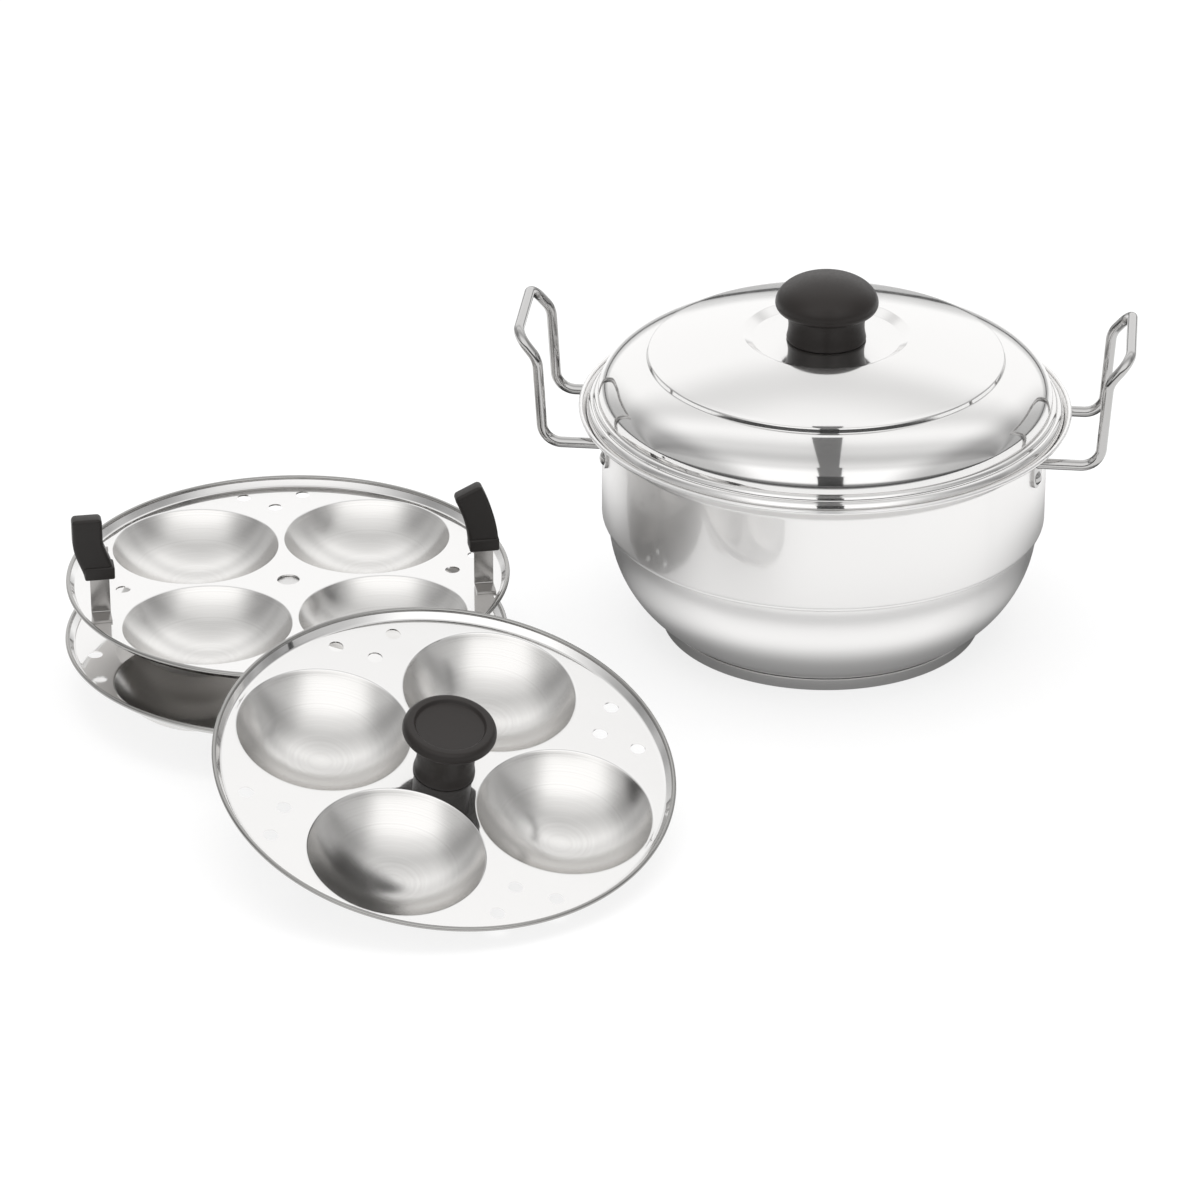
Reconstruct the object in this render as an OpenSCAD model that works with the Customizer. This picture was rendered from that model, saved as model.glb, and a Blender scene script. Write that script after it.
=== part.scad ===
// Idli steamer: a stovetop pot with a domed lid, two idli plates stacked beside it, and a third
// plate with a knob that leans on the stack. Millimetres, Z up. The origin is the centre of the
// pot's base, on the surface that everything stands on.

/* [Pot] */
// Outer radius of the pot's straight wall, from which the lid and the plates take their sizes
wall_r = 100; // [94:1:112]
// Height of the pot, up to the centre of its rolled edge
pot_h = 106.6; // [98:0.2:130]
// Width of the flared lip, from the wall to the outside of the rolled edge
lip_w = 10.5; // [9:0.25:12]
// Height of the flared lip, up to the centre of the rolled edge
lip_rise = 8.1; // [6.5:0.1:9.5]
// Radius of the rolled edge's bead
lip_bead_r = 1; // [0.8:0.1:1.4]
// Height at which the wall turns in to the shoulder
shoulder_h = 55.5; // [45:0.5:65]
// Radius of the rounded shoulder
shoulder_r = 3; // [2:0.5:5]
// Thickness of the pot's steel sheet
pot_sheet = 0.7; // [0.5:0.1:1]
// How far the bowl draws in, from the wall to the base disc
bowl_in = 28.5; // [22:0.5:34]
// How far round its ellipse the bowl's side runs, in degrees
bowl_angle = 58.7; // [50:0.1:75]

/* [Base disc] */
// Thickness of the whole base disc
base_h = 5.5; // [4:0.5:8]
// How far the disc stands out past the bowl's foot
base_lip = 1; // [0.5:0.25:2]
// Thickness of the steel cap under the aluminium core
cap_sheet = 0.5; // [0.4:0.1:0.8]

/* [Wire handles] */
// Radius of the handle wire
wire_r = 2.4; // [2:0.1:2.8]
// Half the distance between a handle's two legs
leg_half = 28; // [24:1:32]
// Half the length of the grip bar, between bend corners
bar_half = 26; // [22:1:28]
// Clearance from the wire's top to the start of the flare
wire_drop = 0.3; // [0.2:0.1:1.5]
// Distance from the wall to the foot of the upright legs
leg_foot_out = 24; // [20:1:30]
// Distance from the wall to the top of the upright legs
leg_top_out = 26.5; // [22:0.5:32]
// Height of the upright legs
leg_rise = 39.9; // [30:0.1:50]
// How far the grip bar lies outside the upright legs
bar_out = 9; // [6:0.5:14]
// How far the grip bar lies above the upright legs
bar_up = 11; // [8:0.5:16]
// Bend radius at the foot of a leg
foot_bend = 9; // [6:0.5:10]
// Bend radius at the top of a leg
top_bend = 11; // [8:0.5:12]
// Bend radius at the ends of the grip bar
bar_bend = 8; // [5:0.5:9]
// Turn of the handles about the pot's axis, in degrees
handle_turn = -6; // [-20:1:20]

/* [Handle brackets] */
// Width of a bracket
bracket_w = 11; // [9:0.5:14]
// Height of a bracket below the wire's axis
bracket_drop = 11.5; // [10:0.5:14]
// Thickness of a bracket
bracket_t = 1.2; // [0.8:0.1:1.6]
// Clearance of the wire in its bracket
wire_clear = 0.05; // [0.02:0.01:0.1]
// Radius of a rivet's shank
rivet_r = 1.8; // [1.5:0.1:2.2]
// Radius of a rivet's head
rivet_head_r = 3.2; // [2.8:0.1:3.8]
// Height of a rivet's outer head
rivet_head_h = 1.5; // [1:0.1:2]
// Distance of a rivet below the wire's axis
rivet_drop = 7; // [6:0.25:8]

/* [Lid] */
// How far the lid's edge reaches out over the lip
lid_over = 7; // [5:0.25:8.25]
// Thickness of the lid's steel sheet
lid_sheet = 0.6; // [0.5:0.1:0.9]
// Clearance between the lid's edge and the lip
lid_clear = 0.3; // [0.2:0.05:0.6]
// Width of the satin skirt, measured inwards
skirt_w = 2.8; // [2:0.2:4]
// Height of the satin skirt
skirt_h = 4; // [3:0.2:6]
// Width of the bright ridge above the skirt, measured inwards
ridge_w = 2.2; // [1.4:0.2:3]
// Height of the bright ridge
ridge_h = 2.2; // [1.4:0.2:3]
// Distance of the step ring on the dome from the lid's edge
step_in = 27; // [21:0.5:33]
// Height of the step's foot above the lid's lower edge
step_foot_h = 25; // [20:0.5:30]
// Height of the step itself
step_h = 2.2; // [1.4:0.2:3.4]
// Half width of the curve that rounds the dome's side
dome_round = 62.2; // [52:0.2:70]
// Squareness of the dome's side, 2 for an ellipse
dome_square = 2.24; // [2:0.02:2.8]
// Rise of the crown from the step to the knob's recess
crown_rise = 9.6; // [6:0.2:14]
// Radius of the recess round the knob, at its top
recess_r = 37.5; // [34:0.5:42]
// Radius of the recess's floor
recess_floor_r = 33; // [28:0.5:36]
// Depth of the recess
recess_d = 2.5; // [1.5:0.25:4]

/* [Lid knob] */
// Height of the lid's knob
knob_h = 30; // [26:0.5:36]
// Largest radius of the knob's head
knob_head_r = 23; // [20:0.5:26]
// Height of the head's widest ring above the knob's foot
knob_wide_h = 17.4; // [15:0.2:20]
// Height of the head's lower edge above the knob's foot
knob_neck_h = 13.4; // [11:0.2:15]
// Radius of the neck under the head
knob_neck_r = 18.6; // [16:0.2:20]
// Radius of the knob's waist
knob_waist_r = 17; // [15:0.2:19]
// Radius of the knob's foot
knob_foot_r = 17.8; // [16:0.2:20]

/* [Plate knob] */
// Height of the plate's knob
plate_knob_h = 26.3; // [22:0.5:32]
// Radius of its flat head
plate_knob_head_r = 20; // [17:0.5:23]
// Thickness of its head
plate_knob_head_h = 7; // [5:0.5:9]
// Radius of its neck
plate_knob_neck_r = 12.4; // [10:0.2:14]
// Radius of its foot
plate_knob_foot_r = 13.2; // [11:0.2:16]
// Radius of the dish in its top
plate_knob_dish_r = 15.4; // [12:0.2:18]
// Depth of the dish
plate_knob_dish_d = 1.4; // [0.8:0.2:2.4]
// Width of the round at the head's edge
plate_knob_round = 2.5; // [1.5:0.25:3]

/* [Knob fixings] */
// Radius of the knob screws
screw_r = 2.4; // [2:0.1:3]
// Clearance of a screw in its thread insert and in the sheet
screw_clear = 0.1; // [0.05:0.05:0.3]
// Radius of a thread insert
insert_r = 4.5; // [3.8:0.1:5.5]
// Length of a thread insert
insert_h = 12; // [9:0.5:13]
// Radius of a screw's head
screw_head_r = 4.6; // [4:0.1:5.5]
// Height of a screw's head
screw_head_h = 3; // [2:0.2:4]
// Radius of a washer
washer_r = 7; // [6:0.25:9]
// Thickness of a washer
washer_t = 1; // [0.8:0.1:1.5]

/* [Idli plates] */
// Clearance of a plate in the pot
plate_clear = 0.8; // [0.4:0.1:2]
// Thickness of a plate's sheet
plate_sheet = 0.7; // [0.5:0.1:1]
// Radius of a plate's rolled edge
plate_bead_r = 1; // [0.8:0.1:1.3]
// Height of the rolled edge's centre above the flat of the plate
rim_h = 3.2; // [2.4:0.2:5]
// Width of the flared rim, measured inwards
rim_w = 4; // [3:0.25:5]
// Flat between a cavity and the rim
cavity_margin = 2.4; // [1.6:0.1:4]
// Flat between two cavities
cavity_gap = 2.6; // [2:0.1:6]
// Depth of a cavity
cavity_d = 19.3; // [15:0.1:22]
// Radius of a steam hole
steam_r = 3.25; // [2.5:0.25:4]
// Distance of the outer steam holes from the rim
steam_edge = 8.5; // [7:0.5:10]
// Distance of the inner steam holes from the outer ones
steam_row = 12.6; // [10:0.2:14]
// Angle of an outer steam hole from its group's middle, in degrees
steam_angle = 9; // [7:0.5:11]

/* [Plate stack] */
// Gap between the pot's lip and the stack
stack_gap = 30.5; // [16:0.5:60]
// Place of the stack's upper plate from the pot's axis, to the back
stack_y = -53.5; // [-100:0.5:60]
// Height of the upper plate above the lower plate
plate_pitch = 26; // [24:0.5:34]
// Turn of the upper plate, in degrees
upper_turn = 7.5; // [0:0.5:12]
// Turn of the lower plate, in degrees
lower_turn = 3; // [0:0.5:12]
// Shift of the lower plate to the right of the upper one
lower_shift_x = -1; // [-2:0.25:2]
// Shift of the lower plate to the back of the upper one
lower_shift_y = -4.5; // [-5:0.25:2]
// Radius of the centre hole in the lower and the upper plate
centre_hole_r = 5; // [4:0.25:5.25]
// Radius of the spacer cup between the two plates
spacer_r = 10; // [9:0.25:11]
// Wall of the spacer cup
spacer_wall = 0.8; // [0.6:0.1:1.2]
// Clearance between the spacer cup and the upper plate
stack_clear = 0.3; // [0.2:0.05:0.5]
// Width of the flange on which the cup stands
spacer_flange = 3; // [2:0.25:4]

/* [Side grips] */
// Distance of the middle of a grip's strip from the rim
strip_in = 9.5; // [9.25:0.25:10.5]
// Distance of the strips in front of the plate's middle
strip_y = 20; // [17:0.25:21]
// Turn of the strips about the plate's axis, past the plate's own, in degrees
strip_turn = 2; // [0:0.5:6]
// Width of a strip
strip_w = 8.5; // [7:0.5:10]
// Thickness of a strip
strip_t = 1.2; // [0.8:0.1:1.6]
// Length of a strip's foot on the plate
strip_foot = 8.5; // [6:0.5:9]
// Height of a grip's lower end above the plate
grip_foot_h = 18.5; // [12:0.5:22]
// Height of a grip
grip_h = 29; // [26:0.5:40]
// Width of a grip
grip_w = 13.2; // [11:0.2:16]
// Thickness of a grip
grip_t = 7.5; // [6:0.25:9]
// How far the left grip's top leans over to the left
left_lean = 4.6; // [0:0.2:10]
// How far the right grip's top leans over to the left
right_lean = 7.2; // [0:0.2:10]
// Height of the thicker block at a grip's lower end
grip_block_h = 6; // [4:0.5:8]
// How far the block stands out past the grip's faces
grip_block_out = 0.8; // [0.4:0.1:1.5]
// How far a strip reaches into its grip
tang_h = 14; // [10:0.5:20]

/* [Leaning plate] */
// Tilt of the leaning plate, in degrees
lean_tilt = 16; // [12:0.5:22]
// Direction in which the leaning plate rises, in degrees from the right
lean_dir = 116; // [105:1:130]
// Clearance between the leaning plate and the stack's rim
lean_clear = 0.3; // [0.2:0.05:0.5]

/* [Hidden] */
$fn = 64;
steel = "silver";
satin = "gainsboro";
bakelite = "#2b2826";
brass = "goldenrod";

// The pot's outline
lip_r = wall_r + lip_w;
flare_h = pot_h - lip_rise;
bowl_foot_r = wall_r - bowl_in;
bowl_top_r = wall_r - shoulder_r;
bowl_top_h = shoulder_h - shoulder_r;
bowl_curve_h = (bowl_top_h - base_h) / sin(bowl_angle);
bowl_curve_w = (bowl_top_r - bowl_foot_r) / (1 - cos(bowl_angle));
lip_end_r = lip_r - lip_bead_r;
lip_end_h = pot_h - lip_bead_r / 2;
lip_slope = atan2(lip_end_h - flare_h, lip_end_r - wall_r);
base_r = bowl_foot_r + base_lip;

// The lid's seat: its lower edge rests on the inside of the flared lip
lid_r = wall_r + lid_over;
step_r = lid_r - step_in;
lid_z = flare_h + (lid_r - wall_r) * tan(lip_slope) + (pot_sheet + lid_clear) / cos(lip_slope);
ridge_r = lid_r - skirt_w;
ridge_z = lid_z + skirt_h;
dome_r = ridge_r - ridge_w;
dome_z = ridge_z + ridge_h;
dome_centre_r = dome_r - dome_round;
step_z = lid_z + step_foot_h;
dome_end = acos(pow((step_r - dome_centre_r) / dome_round, dome_square / 2));
dome_curve_h = (step_z - dome_z) / pow(sin(dome_end), 2 / dome_square);
step_draft = 0.4;
crown_r = step_r - step_draft;
crown_z = step_z + step_h + crown_rise;
knob_z = crown_z - recess_d;

// The wire handles
wire_z = flare_h - wire_r - wire_drop;
leg_foot_r = wall_r + leg_foot_out;
leg_top_r = wall_r + leg_top_out;
leg_top_h = wire_z + leg_rise;
leg_angle = asin(leg_half / wall_r);
handle_sides = [180, 0];

// The plates: four equal cavities fill the flat but for a margin at the rim and a gap between them
plate_r = wall_r - pot_sheet - plate_clear;
flat_r = plate_r - rim_w;
cavity_r = (sqrt(2) * (flat_r - cavity_margin) - cavity_gap) / (2 + sqrt(2));
cavity_pitch_r = flat_r - cavity_margin - cavity_r;
steam_outer_r = flat_r - steam_edge;
steam_inner_r = steam_outer_r - steam_row;
strip_x = flat_r - strip_in;
cavity_sphere_r = (cavity_r * cavity_r + cavity_d * cavity_d) / (2 * cavity_d);
cavity_centre_z = cavity_sphere_r - cavity_d;
dome_depth = cavity_d + plate_sheet;
cavity_angles = [45, 135, 225, 315];
lower_z = dome_depth;
upper_z = lower_z + plate_pitch;
stack_x = -(lip_r + stack_gap + plate_r);
lower_x = stack_x + lower_shift_x;
lower_y = stack_y + lower_shift_y;
spacer_h = plate_pitch - plate_sheet - stack_clear;

// The leaning plate: its two lower domes stand on the surface, and its two upper domes or its
// flat lie on the rolled edge of the upper plate. Its turn puts the domes level in pairs.
lean_turn = lean_dir - 90;
sphere_reach = cavity_pitch_r * cos(45);
lean_z = cavity_sphere_r + plate_sheet + sphere_reach * sin(lean_tilt) - cavity_centre_z * cos(lean_tilt);
edge_ring_r = plate_r - plate_bead_r;
edge_ring_z = upper_z + rim_h;
ring_steps = 40;
ring_half_angle = 60;

// A point of the stack's rolled edge, seen from the leaning plate, which lies at a distance from
// the stack: along the rise, across it, and up from the plate's flat
function edge_point(a, distance) =
    let (along = distance - edge_ring_r * cos(a), up = edge_ring_z - lean_z)
    [along * cos(lean_tilt) + up * sin(lean_tilt), edge_ring_r * sin(a),
     up * cos(lean_tilt) - along * sin(lean_tilt)];
// Clear distance from such a point to the underside of the leaning plate
function under_gap(q) =
    min(-plate_sheet - q[2],
        norm([q[0] - sphere_reach, abs(q[1]) - sphere_reach, q[2] - cavity_centre_z])
        - cavity_sphere_r - plate_sheet) - plate_bead_r;
function least_gap(distance) =
    min([for (i = [-ring_steps:ring_steps]) under_gap(edge_point(i * ring_half_angle / ring_steps, distance))]);
// The nearest distance at which the plate clears the edge, by halving the range
function lean_distance(near, far, steps) =
    steps == 0 ? far :
    let (middle = (near + far) / 2)
    least_gap(middle) < lean_clear ? lean_distance(middle, far, steps - 1)
                                   : lean_distance(near, middle, steps - 1);
lean_run = lean_distance(plate_r + cavity_pitch_r / 2, 2 * plate_r + cavity_pitch_r, 24);
lean_x = stack_x - lean_run * cos(lean_dir);
lean_y = stack_y - lean_run * sin(lean_dir);

// Outlines and placing
function unit(v) = v / norm(v);
function heading(p, i) = unit(p[min(i + 1, len(p) - 1)] - p[max(i - 1, 0)]);
function beside(p, t) = [for (i = [0:len(p) - 1]) p[i] + t * [-heading(p, i)[1], heading(p, i)[0]]];
function backwards(p) = [for (i = [len(p) - 1:-1:0]) p[i]];
function later(p) = [for (i = [1:len(p) - 1]) p[i]];
function curve(c, w, h, a0, a1, n) =
    [for (i = [0:n]) let (a = a0 + (a1 - a0) * i / n) [c[0] + w * cos(a), c[1] + h * sin(a)]];

// A sheet of one thickness along an outline, turned about the axis
module sheet_outline(p, t) polygon(concat(p, backwards(beside(p, t))));

module along(d) rotate([0, acos(d[2]), atan2(d[1], d[0])]) children();

// The bends of a wire are a little fuller than its straights, which reach a little into them
bend_swell = 0.02;
bend_reach = 0.3;

// A wire through a list of corners, with a bend radius at each inner corner
module bent_wire(p, bends, r) {
    last = len(p) - 1;
    d = [for (i = [0:last - 1]) unit(p[i + 1] - p[i])];
    turn = [for (i = [1:last - 1]) acos(d[i - 1] * d[i])];
    trim = [for (i = [0:last]) i == 0 || i == last ? 0 : bends[i - 1] * tan(turn[i - 1] / 2)];
    for (i = [0:last - 1]) {
        first = i == 0 ? 0 : bend_reach;
        final = i == last - 1 ? 0 : bend_reach;
        if (i > 0) bend(p[i], d[i - 1], d[i], bends[i - 1], turn[i - 1], r + bend_swell);
        translate(p[i] + d[i] * (trim[i] - first)) along(d[i])
            cylinder(h = norm(p[i + 1] - p[i]) - trim[i] - trim[i + 1] + first + final, r = r, $fn = 32);
    }
}

module bend(corner, d0, d1, bend_r, turn, r) {
    n = unit(cross(d0, d1));
    c = corner + unit(d1 - d0) * bend_r / cos(turn / 2);
    start = unit(corner - d0 * bend_r * tan(turn / 2) - c);
    tip = acos(n[2]);
    swing = atan2(n[1], n[0]);
    x_axis = [cos(tip) * cos(swing), cos(tip) * sin(swing), -sin(tip)];
    y_axis = [-sin(swing), cos(swing), 0];
    translate(c) rotate([0, tip, swing]) rotate([0, 0, atan2(start * y_axis, start * x_axis)])
        rotate_extrude(angle = turn) translate([bend_r, 0]) circle(r = r, $fn = 32);
}

// The pot
bowl_steps = 14;
pot_outline = concat(
    [[0, base_h]],
    curve([bowl_top_r - bowl_curve_w, bowl_top_h], bowl_curve_w, bowl_curve_h, -bowl_angle, 0, bowl_steps),
    later(curve([bowl_top_r, shoulder_h], shoulder_r, shoulder_r, -90, 0, 5)),
    [[wall_r, flare_h], [lip_end_r, lip_end_h]]);

module pot_shell() color(steel)
    difference() {
        rotate_extrude($fn = 128) {
            sheet_outline(pot_outline, pot_sheet);
            translate([lip_end_r, pot_h]) circle(r = lip_bead_r, $fn = 24);
        }
        for (side = handle_sides, end = [-1, 1]) at_bracket(side, end) rivet_bore();
    }

module base_core() color("darkgray")
    translate([0, 0, cap_sheet]) cylinder(h = base_h - cap_sheet, r = base_r - cap_sheet, $fn = 128);

module base_cap() color("gray")
    difference() {
        cylinder(h = base_h, r = base_r, $fn = 128);
        translate([0, 0, cap_sheet]) cylinder(h = base_h, r = base_r - cap_sheet, $fn = 128);
    }

// Where the brackets sit: side is the handle's direction, end is the leg's side of it
module at_bracket(side, end) rotate([0, 0, side + handle_turn + end * leg_angle]) children();

module rivet_bore()
    translate([wall_r / 2, 0, wire_z - rivet_drop]) rotate([0, 90, 0]) cylinder(h = wall_r, r = rivet_r);

module handle_wire(side) color(steel)
    difference() {
        rotate([0, 0, side + handle_turn]) bent_wire(wire_corners, wire_bends, wire_r);
        cylinder(h = flare_h, r = wall_r + wire_clear, $fn = 128);
    }
wire_half = [
    [wall_r * cos(leg_angle) - wire_r, leg_half, wire_z], [leg_foot_r, leg_half, wire_z],
    [leg_top_r, leg_half, leg_top_h], [leg_top_r + bar_out, bar_half, leg_top_h + bar_up]
];
wire_corners = concat(wire_half, [for (i = [3:-1:0]) [wire_half[i][0], -wire_half[i][1], wire_half[i][2]]]);
wire_bends = [foot_bend, top_bend, bar_bend, bar_bend, top_bend, foot_bend];

module handle_wire_left() handle_wire(handle_sides[0]);
module handle_wire_right() handle_wire(handle_sides[1]);

module bracket(side, end) color(steel)
    difference() {
        intersection() {
            difference() {
                cylinder(h = flare_h, r = wall_r + bracket_t, $fn = 128);
                translate([0, 0, -1]) cylinder(h = flare_h + 2, r = wall_r, $fn = 128);
            }
            at_bracket(side, end) translate([wall_r / 2, 0, 0]) rotate([90, 0, 90])
                linear_extrude(wall_r) bracket_outline();
        }
        rotate([0, 0, side + handle_turn]) translate([wall_r / 2, end * leg_half, wire_z]) rotate([0, 90, 0])
            cylinder(h = wall_r, r = wire_r + wire_clear);
        at_bracket(side, end) rivet_bore();
    }

module bracket_outline() {
    corner_h = wire_z - bracket_drop + bracket_w / 2;
    translate([-bracket_w / 2, corner_h]) square([bracket_w, wire_z + wire_r - corner_h]);
    translate([0, corner_h]) circle(d = bracket_w);
}

module bracket_left_back() bracket(handle_sides[0], -1);
module bracket_left_front() bracket(handle_sides[0], 1);
module bracket_right_back() bracket(handle_sides[1], 1);
module bracket_right_front() bracket(handle_sides[1], -1);

// A rivet has its flat head inside the pot and its round head on the bracket
rivet_head_t = 1;
rivet_inside_r = sqrt(pow(wall_r - pot_sheet, 2) - rivet_head_r * rivet_head_r);
module bracket_rivets() color(satin)
    for (side = handle_sides, end = [-1, 1])
        at_bracket(side, end) translate([0, 0, wire_z - rivet_drop]) rotate([0, 90, 0]) {
            translate([0, 0, rivet_inside_r - rivet_head_t]) cylinder(h = rivet_head_t, r = rivet_head_r);
            translate([0, 0, rivet_inside_r - rivet_head_t])
                cylinder(h = wall_r + bracket_t - rivet_inside_r + rivet_head_t + rivet_head_h / 2, r = rivet_r);
            translate([0, 0, wall_r + bracket_t]) intersection() {
                cylinder(h = rivet_head_h, r = rivet_head_r);
                translate([0, 0, rivet_head_h - rivet_dome_r]) sphere(r = rivet_dome_r);
            }
        }
rivet_dome_r = (rivet_head_r * rivet_head_r + rivet_head_h * rivet_head_h) / (2 * rivet_head_h);

// The lid
dome_steps = 14;
crown_steps = 6;
dome_outline = [for (i = [1:dome_steps]) let (a = dome_end * i / dome_steps)
    [dome_centre_r + dome_round * pow(cos(a), 2 / dome_square),
     dome_z + dome_curve_h * pow(sin(a), 2 / dome_square)]];
function crown_height(r) = crown_z - crown_rise * (r * r - recess_r * recess_r)
                                     / (crown_r * crown_r - recess_r * recess_r);
crown_outline = [for (i = [0:crown_steps]) let (r = crown_r + (recess_r - crown_r) * i / crown_steps)
    [r, crown_height(r)]];
lid_outline = concat(
    curve([lid_r - skirt_w, lid_z], skirt_w, skirt_h, 0, 90, 5),
    curve([dome_r, ridge_z], ridge_w, ridge_h, 0, 90, 4),
    dome_outline, crown_outline,
    [[recess_floor_r, knob_z], [screw_r + screw_clear, knob_z]]);

module lid_shell() color(steel)
    rotate_extrude($fn = 128) sheet_outline(lid_outline, lid_sheet);

knob_edge_h = 1.4;
waist_steps = 5;
lid_knob_outline = concat(
    [[knob_foot_r, 0], [knob_foot_r, knob_edge_h]],
    [for (i = [1:waist_steps]) let (s = i / waist_steps)
        [knob_waist_r + (knob_foot_r - knob_waist_r) * pow(1 - s, 2),
         knob_edge_h + (knob_neck_h / 2 - knob_edge_h) * s]],
    [for (i = [1:waist_steps]) let (s = i / waist_steps)
        [knob_waist_r + (knob_neck_r - knob_waist_r) * s * s, knob_neck_h / 2 * (1 + s)]],
    later(curve([knob_neck_r, knob_wide_h], knob_head_r - knob_neck_r, knob_wide_h - knob_neck_h, -90, 0, 6)),
    later(curve([0, knob_wide_h], knob_head_r, knob_h - knob_wide_h, 0, 90, 15)));

module lid_knob() color(bakelite)
    translate([0, 0, knob_z]) difference() {
        rotate_extrude($fn = 96) polygon(concat(lid_knob_outline, [[0, 0]]));
        translate([0, 0, -1]) cylinder(h = insert_h + 1, r = insert_r);
    }

module knob_insert() color(brass)
    difference() {
        cylinder(h = insert_h, r = insert_r);
        translate([0, 0, -1]) cylinder(h = insert_h, r = screw_r + screw_clear);
    }

// A screw comes up through a washer and a sheet into the thread insert
module knob_screw(sheet) color(satin) {
    translate([0, 0, -sheet - washer_t]) cylinder(h = sheet + washer_t + insert_h - 2, r = screw_r);
    translate([0, 0, -sheet - washer_t - screw_head_h]) cylinder(h = screw_head_h, r = screw_head_r);
}

module knob_washer(sheet) color(satin)
    translate([0, 0, -sheet - washer_t]) difference() {
        cylinder(h = washer_t, r = washer_r);
        translate([0, 0, -1]) cylinder(h = washer_t + 2, r = screw_r + screw_clear);
    }

module lid_knob_insert() translate([0, 0, knob_z]) knob_insert();
module lid_knob_screw() translate([0, 0, knob_z]) knob_screw(lid_sheet);
module lid_knob_washer() translate([0, 0, knob_z]) knob_washer(lid_sheet);

// An idli plate with its flat's upper face at height 0
module idli_plate(hole_r) color(satin)
    difference() {
        union() {
            rotate_extrude($fn = 128) {
                sheet_outline([[0, 0], [flat_r, 0], [edge_ring_r, rim_h]], -plate_sheet);
                translate([edge_ring_r, rim_h]) circle(r = plate_bead_r, $fn = 24);
            }
            for (a = cavity_angles) rotate([0, 0, a]) translate([cavity_pitch_r, 0, 0])
                cavity_cap(cavity_sphere_r + plate_sheet, 0);
        }
        for (a = cavity_angles) rotate([0, 0, a]) translate([cavity_pitch_r, 0, 0])
            cavity_cap(cavity_sphere_r, 1);
        for (a = [0:90:270]) rotate([0, 0, a]) {
            steam_hole(steam_inner_r, 0);
            steam_hole(steam_outer_r, steam_angle);
            steam_hole(steam_outer_r, -steam_angle);
        }
        translate([0, 0, -plate_sheet - 1]) cylinder(h = plate_sheet + 2, r = hole_r);
    }

module cavity_cap(r, above)
    intersection() {
        translate([0, 0, cavity_centre_z]) sphere(r = r, $fn = 96);
        translate([0, 0, above - 2 * cavity_d]) cylinder(h = 2 * cavity_d, r = 2 * cavity_r);
    }

module steam_hole(r, a)
    rotate([0, 0, a]) translate([r, 0, -plate_sheet - 1]) cylinder(h = plate_sheet + 2, r = steam_r);

module at_lower() translate([lower_x, lower_y, lower_z]) rotate([0, 0, lower_turn]) children();
module at_upper() translate([stack_x, stack_y, upper_z]) rotate([0, 0, upper_turn]) children();
module at_leaning() translate([lean_x, lean_y, lean_z]) rotate([0, 0, lean_dir]) rotate([0, -lean_tilt, 0])
    rotate([0, 0, lean_turn - lean_dir]) children();

module lower_plate() at_lower() idli_plate(centre_hole_r);

// An upturned cup with a flange, spot-welded to the lower plate; the upper plate rests on its top
module spacer_cup() color(steel)
    at_lower() difference() {
        union() {
            cylinder(h = spacer_h, r = spacer_r);
            cylinder(h = spacer_wall, r = spacer_r + spacer_flange);
        }
        translate([0, 0, -spacer_wall]) cylinder(h = spacer_h, r = spacer_r - spacer_wall);
    }

module upper_plate() at_upper() idli_plate(centre_hole_r);

// The back of a strip, at the upper face of the plate
module at_strip(side) at_upper() rotate([0, 0, strip_turn]) translate([side * strip_x, -strip_y, 0]) children();

// A strip stands on its foot, which lies on the plate, and its tang ends in the grip
module strip(side) color(steel)
    at_strip(side) {
        translate([-strip_w / 2, -strip_foot, 0]) cube([strip_w, strip_foot + strip_t, strip_t]);
        translate([-strip_w / 2, 0, 0]) cube([strip_w, strip_t, grip_foot_h + tang_h]);
    }

module strip_left() strip(-1);
module strip_right() strip(1);

// The middle line of a grip: both lean over to the left, the left one in an S-curve that ends
// upright and the right one in a single bow
grip_steps = 12;
s_curve_part = 0.62;
function s_curve(s) = s > 1 ? 1 : s * s * (3 - 2 * s);
function grip_line(side) = [for (i = [0:grip_steps]) let (s = i / grip_steps)
    [side < 0 ? -left_lean * s_curve(s / s_curve_part) : -right_lean * s * s, grip_h * s]];

module grip(side) color(bakelite)
    at_strip(side) translate([0, strip_t / 2, grip_foot_h]) difference() {
        rotate([90, 0, 0]) union() {
            translate([0, 0, -grip_t / 2]) linear_extrude(grip_t)
                polygon(concat(beside(grip_line(side), -grip_w / 2), backwards(beside(grip_line(side), grip_w / 2))));
            translate([-grip_w / 2, 0, -grip_t / 2 - grip_block_out])
                cube([grip_w, grip_block_h, grip_t + 2 * grip_block_out]);
        }
        translate([-strip_w / 2, -strip_t / 2, -1]) cube([strip_w, strip_t, tang_h + 1]);
    }

module grip_left() grip(-1);
module grip_right() grip(1);

// The leaning plate and its knob
plate_knob_wide_h = plate_knob_h - plate_knob_head_h / 2;
plate_knob_waist_h = (plate_knob_h - plate_knob_head_h) / 3;
plate_knob_floor_h = plate_knob_h - plate_knob_dish_d;
plate_knob_outline = concat(
    [[plate_knob_foot_r, 0], [plate_knob_foot_r, knob_edge_h]],
    [for (i = [1:waist_steps]) let (s = i / waist_steps)
        [plate_knob_neck_r + (plate_knob_foot_r - plate_knob_neck_r) * pow(1 - s, 2),
         knob_edge_h + (plate_knob_waist_h - knob_edge_h) * s]],
    curve([plate_knob_neck_r, plate_knob_wide_h],
          plate_knob_head_r - plate_knob_neck_r, plate_knob_head_h / 2, -90, 0, 6),
    later(curve([plate_knob_head_r - plate_knob_round, plate_knob_wide_h],
                plate_knob_round, plate_knob_head_h / 2, 0, 90, 6)),
    [[plate_knob_dish_r, plate_knob_h], [plate_knob_dish_r - plate_knob_dish_d, plate_knob_floor_h],
     [0, plate_knob_floor_h]]);

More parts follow.
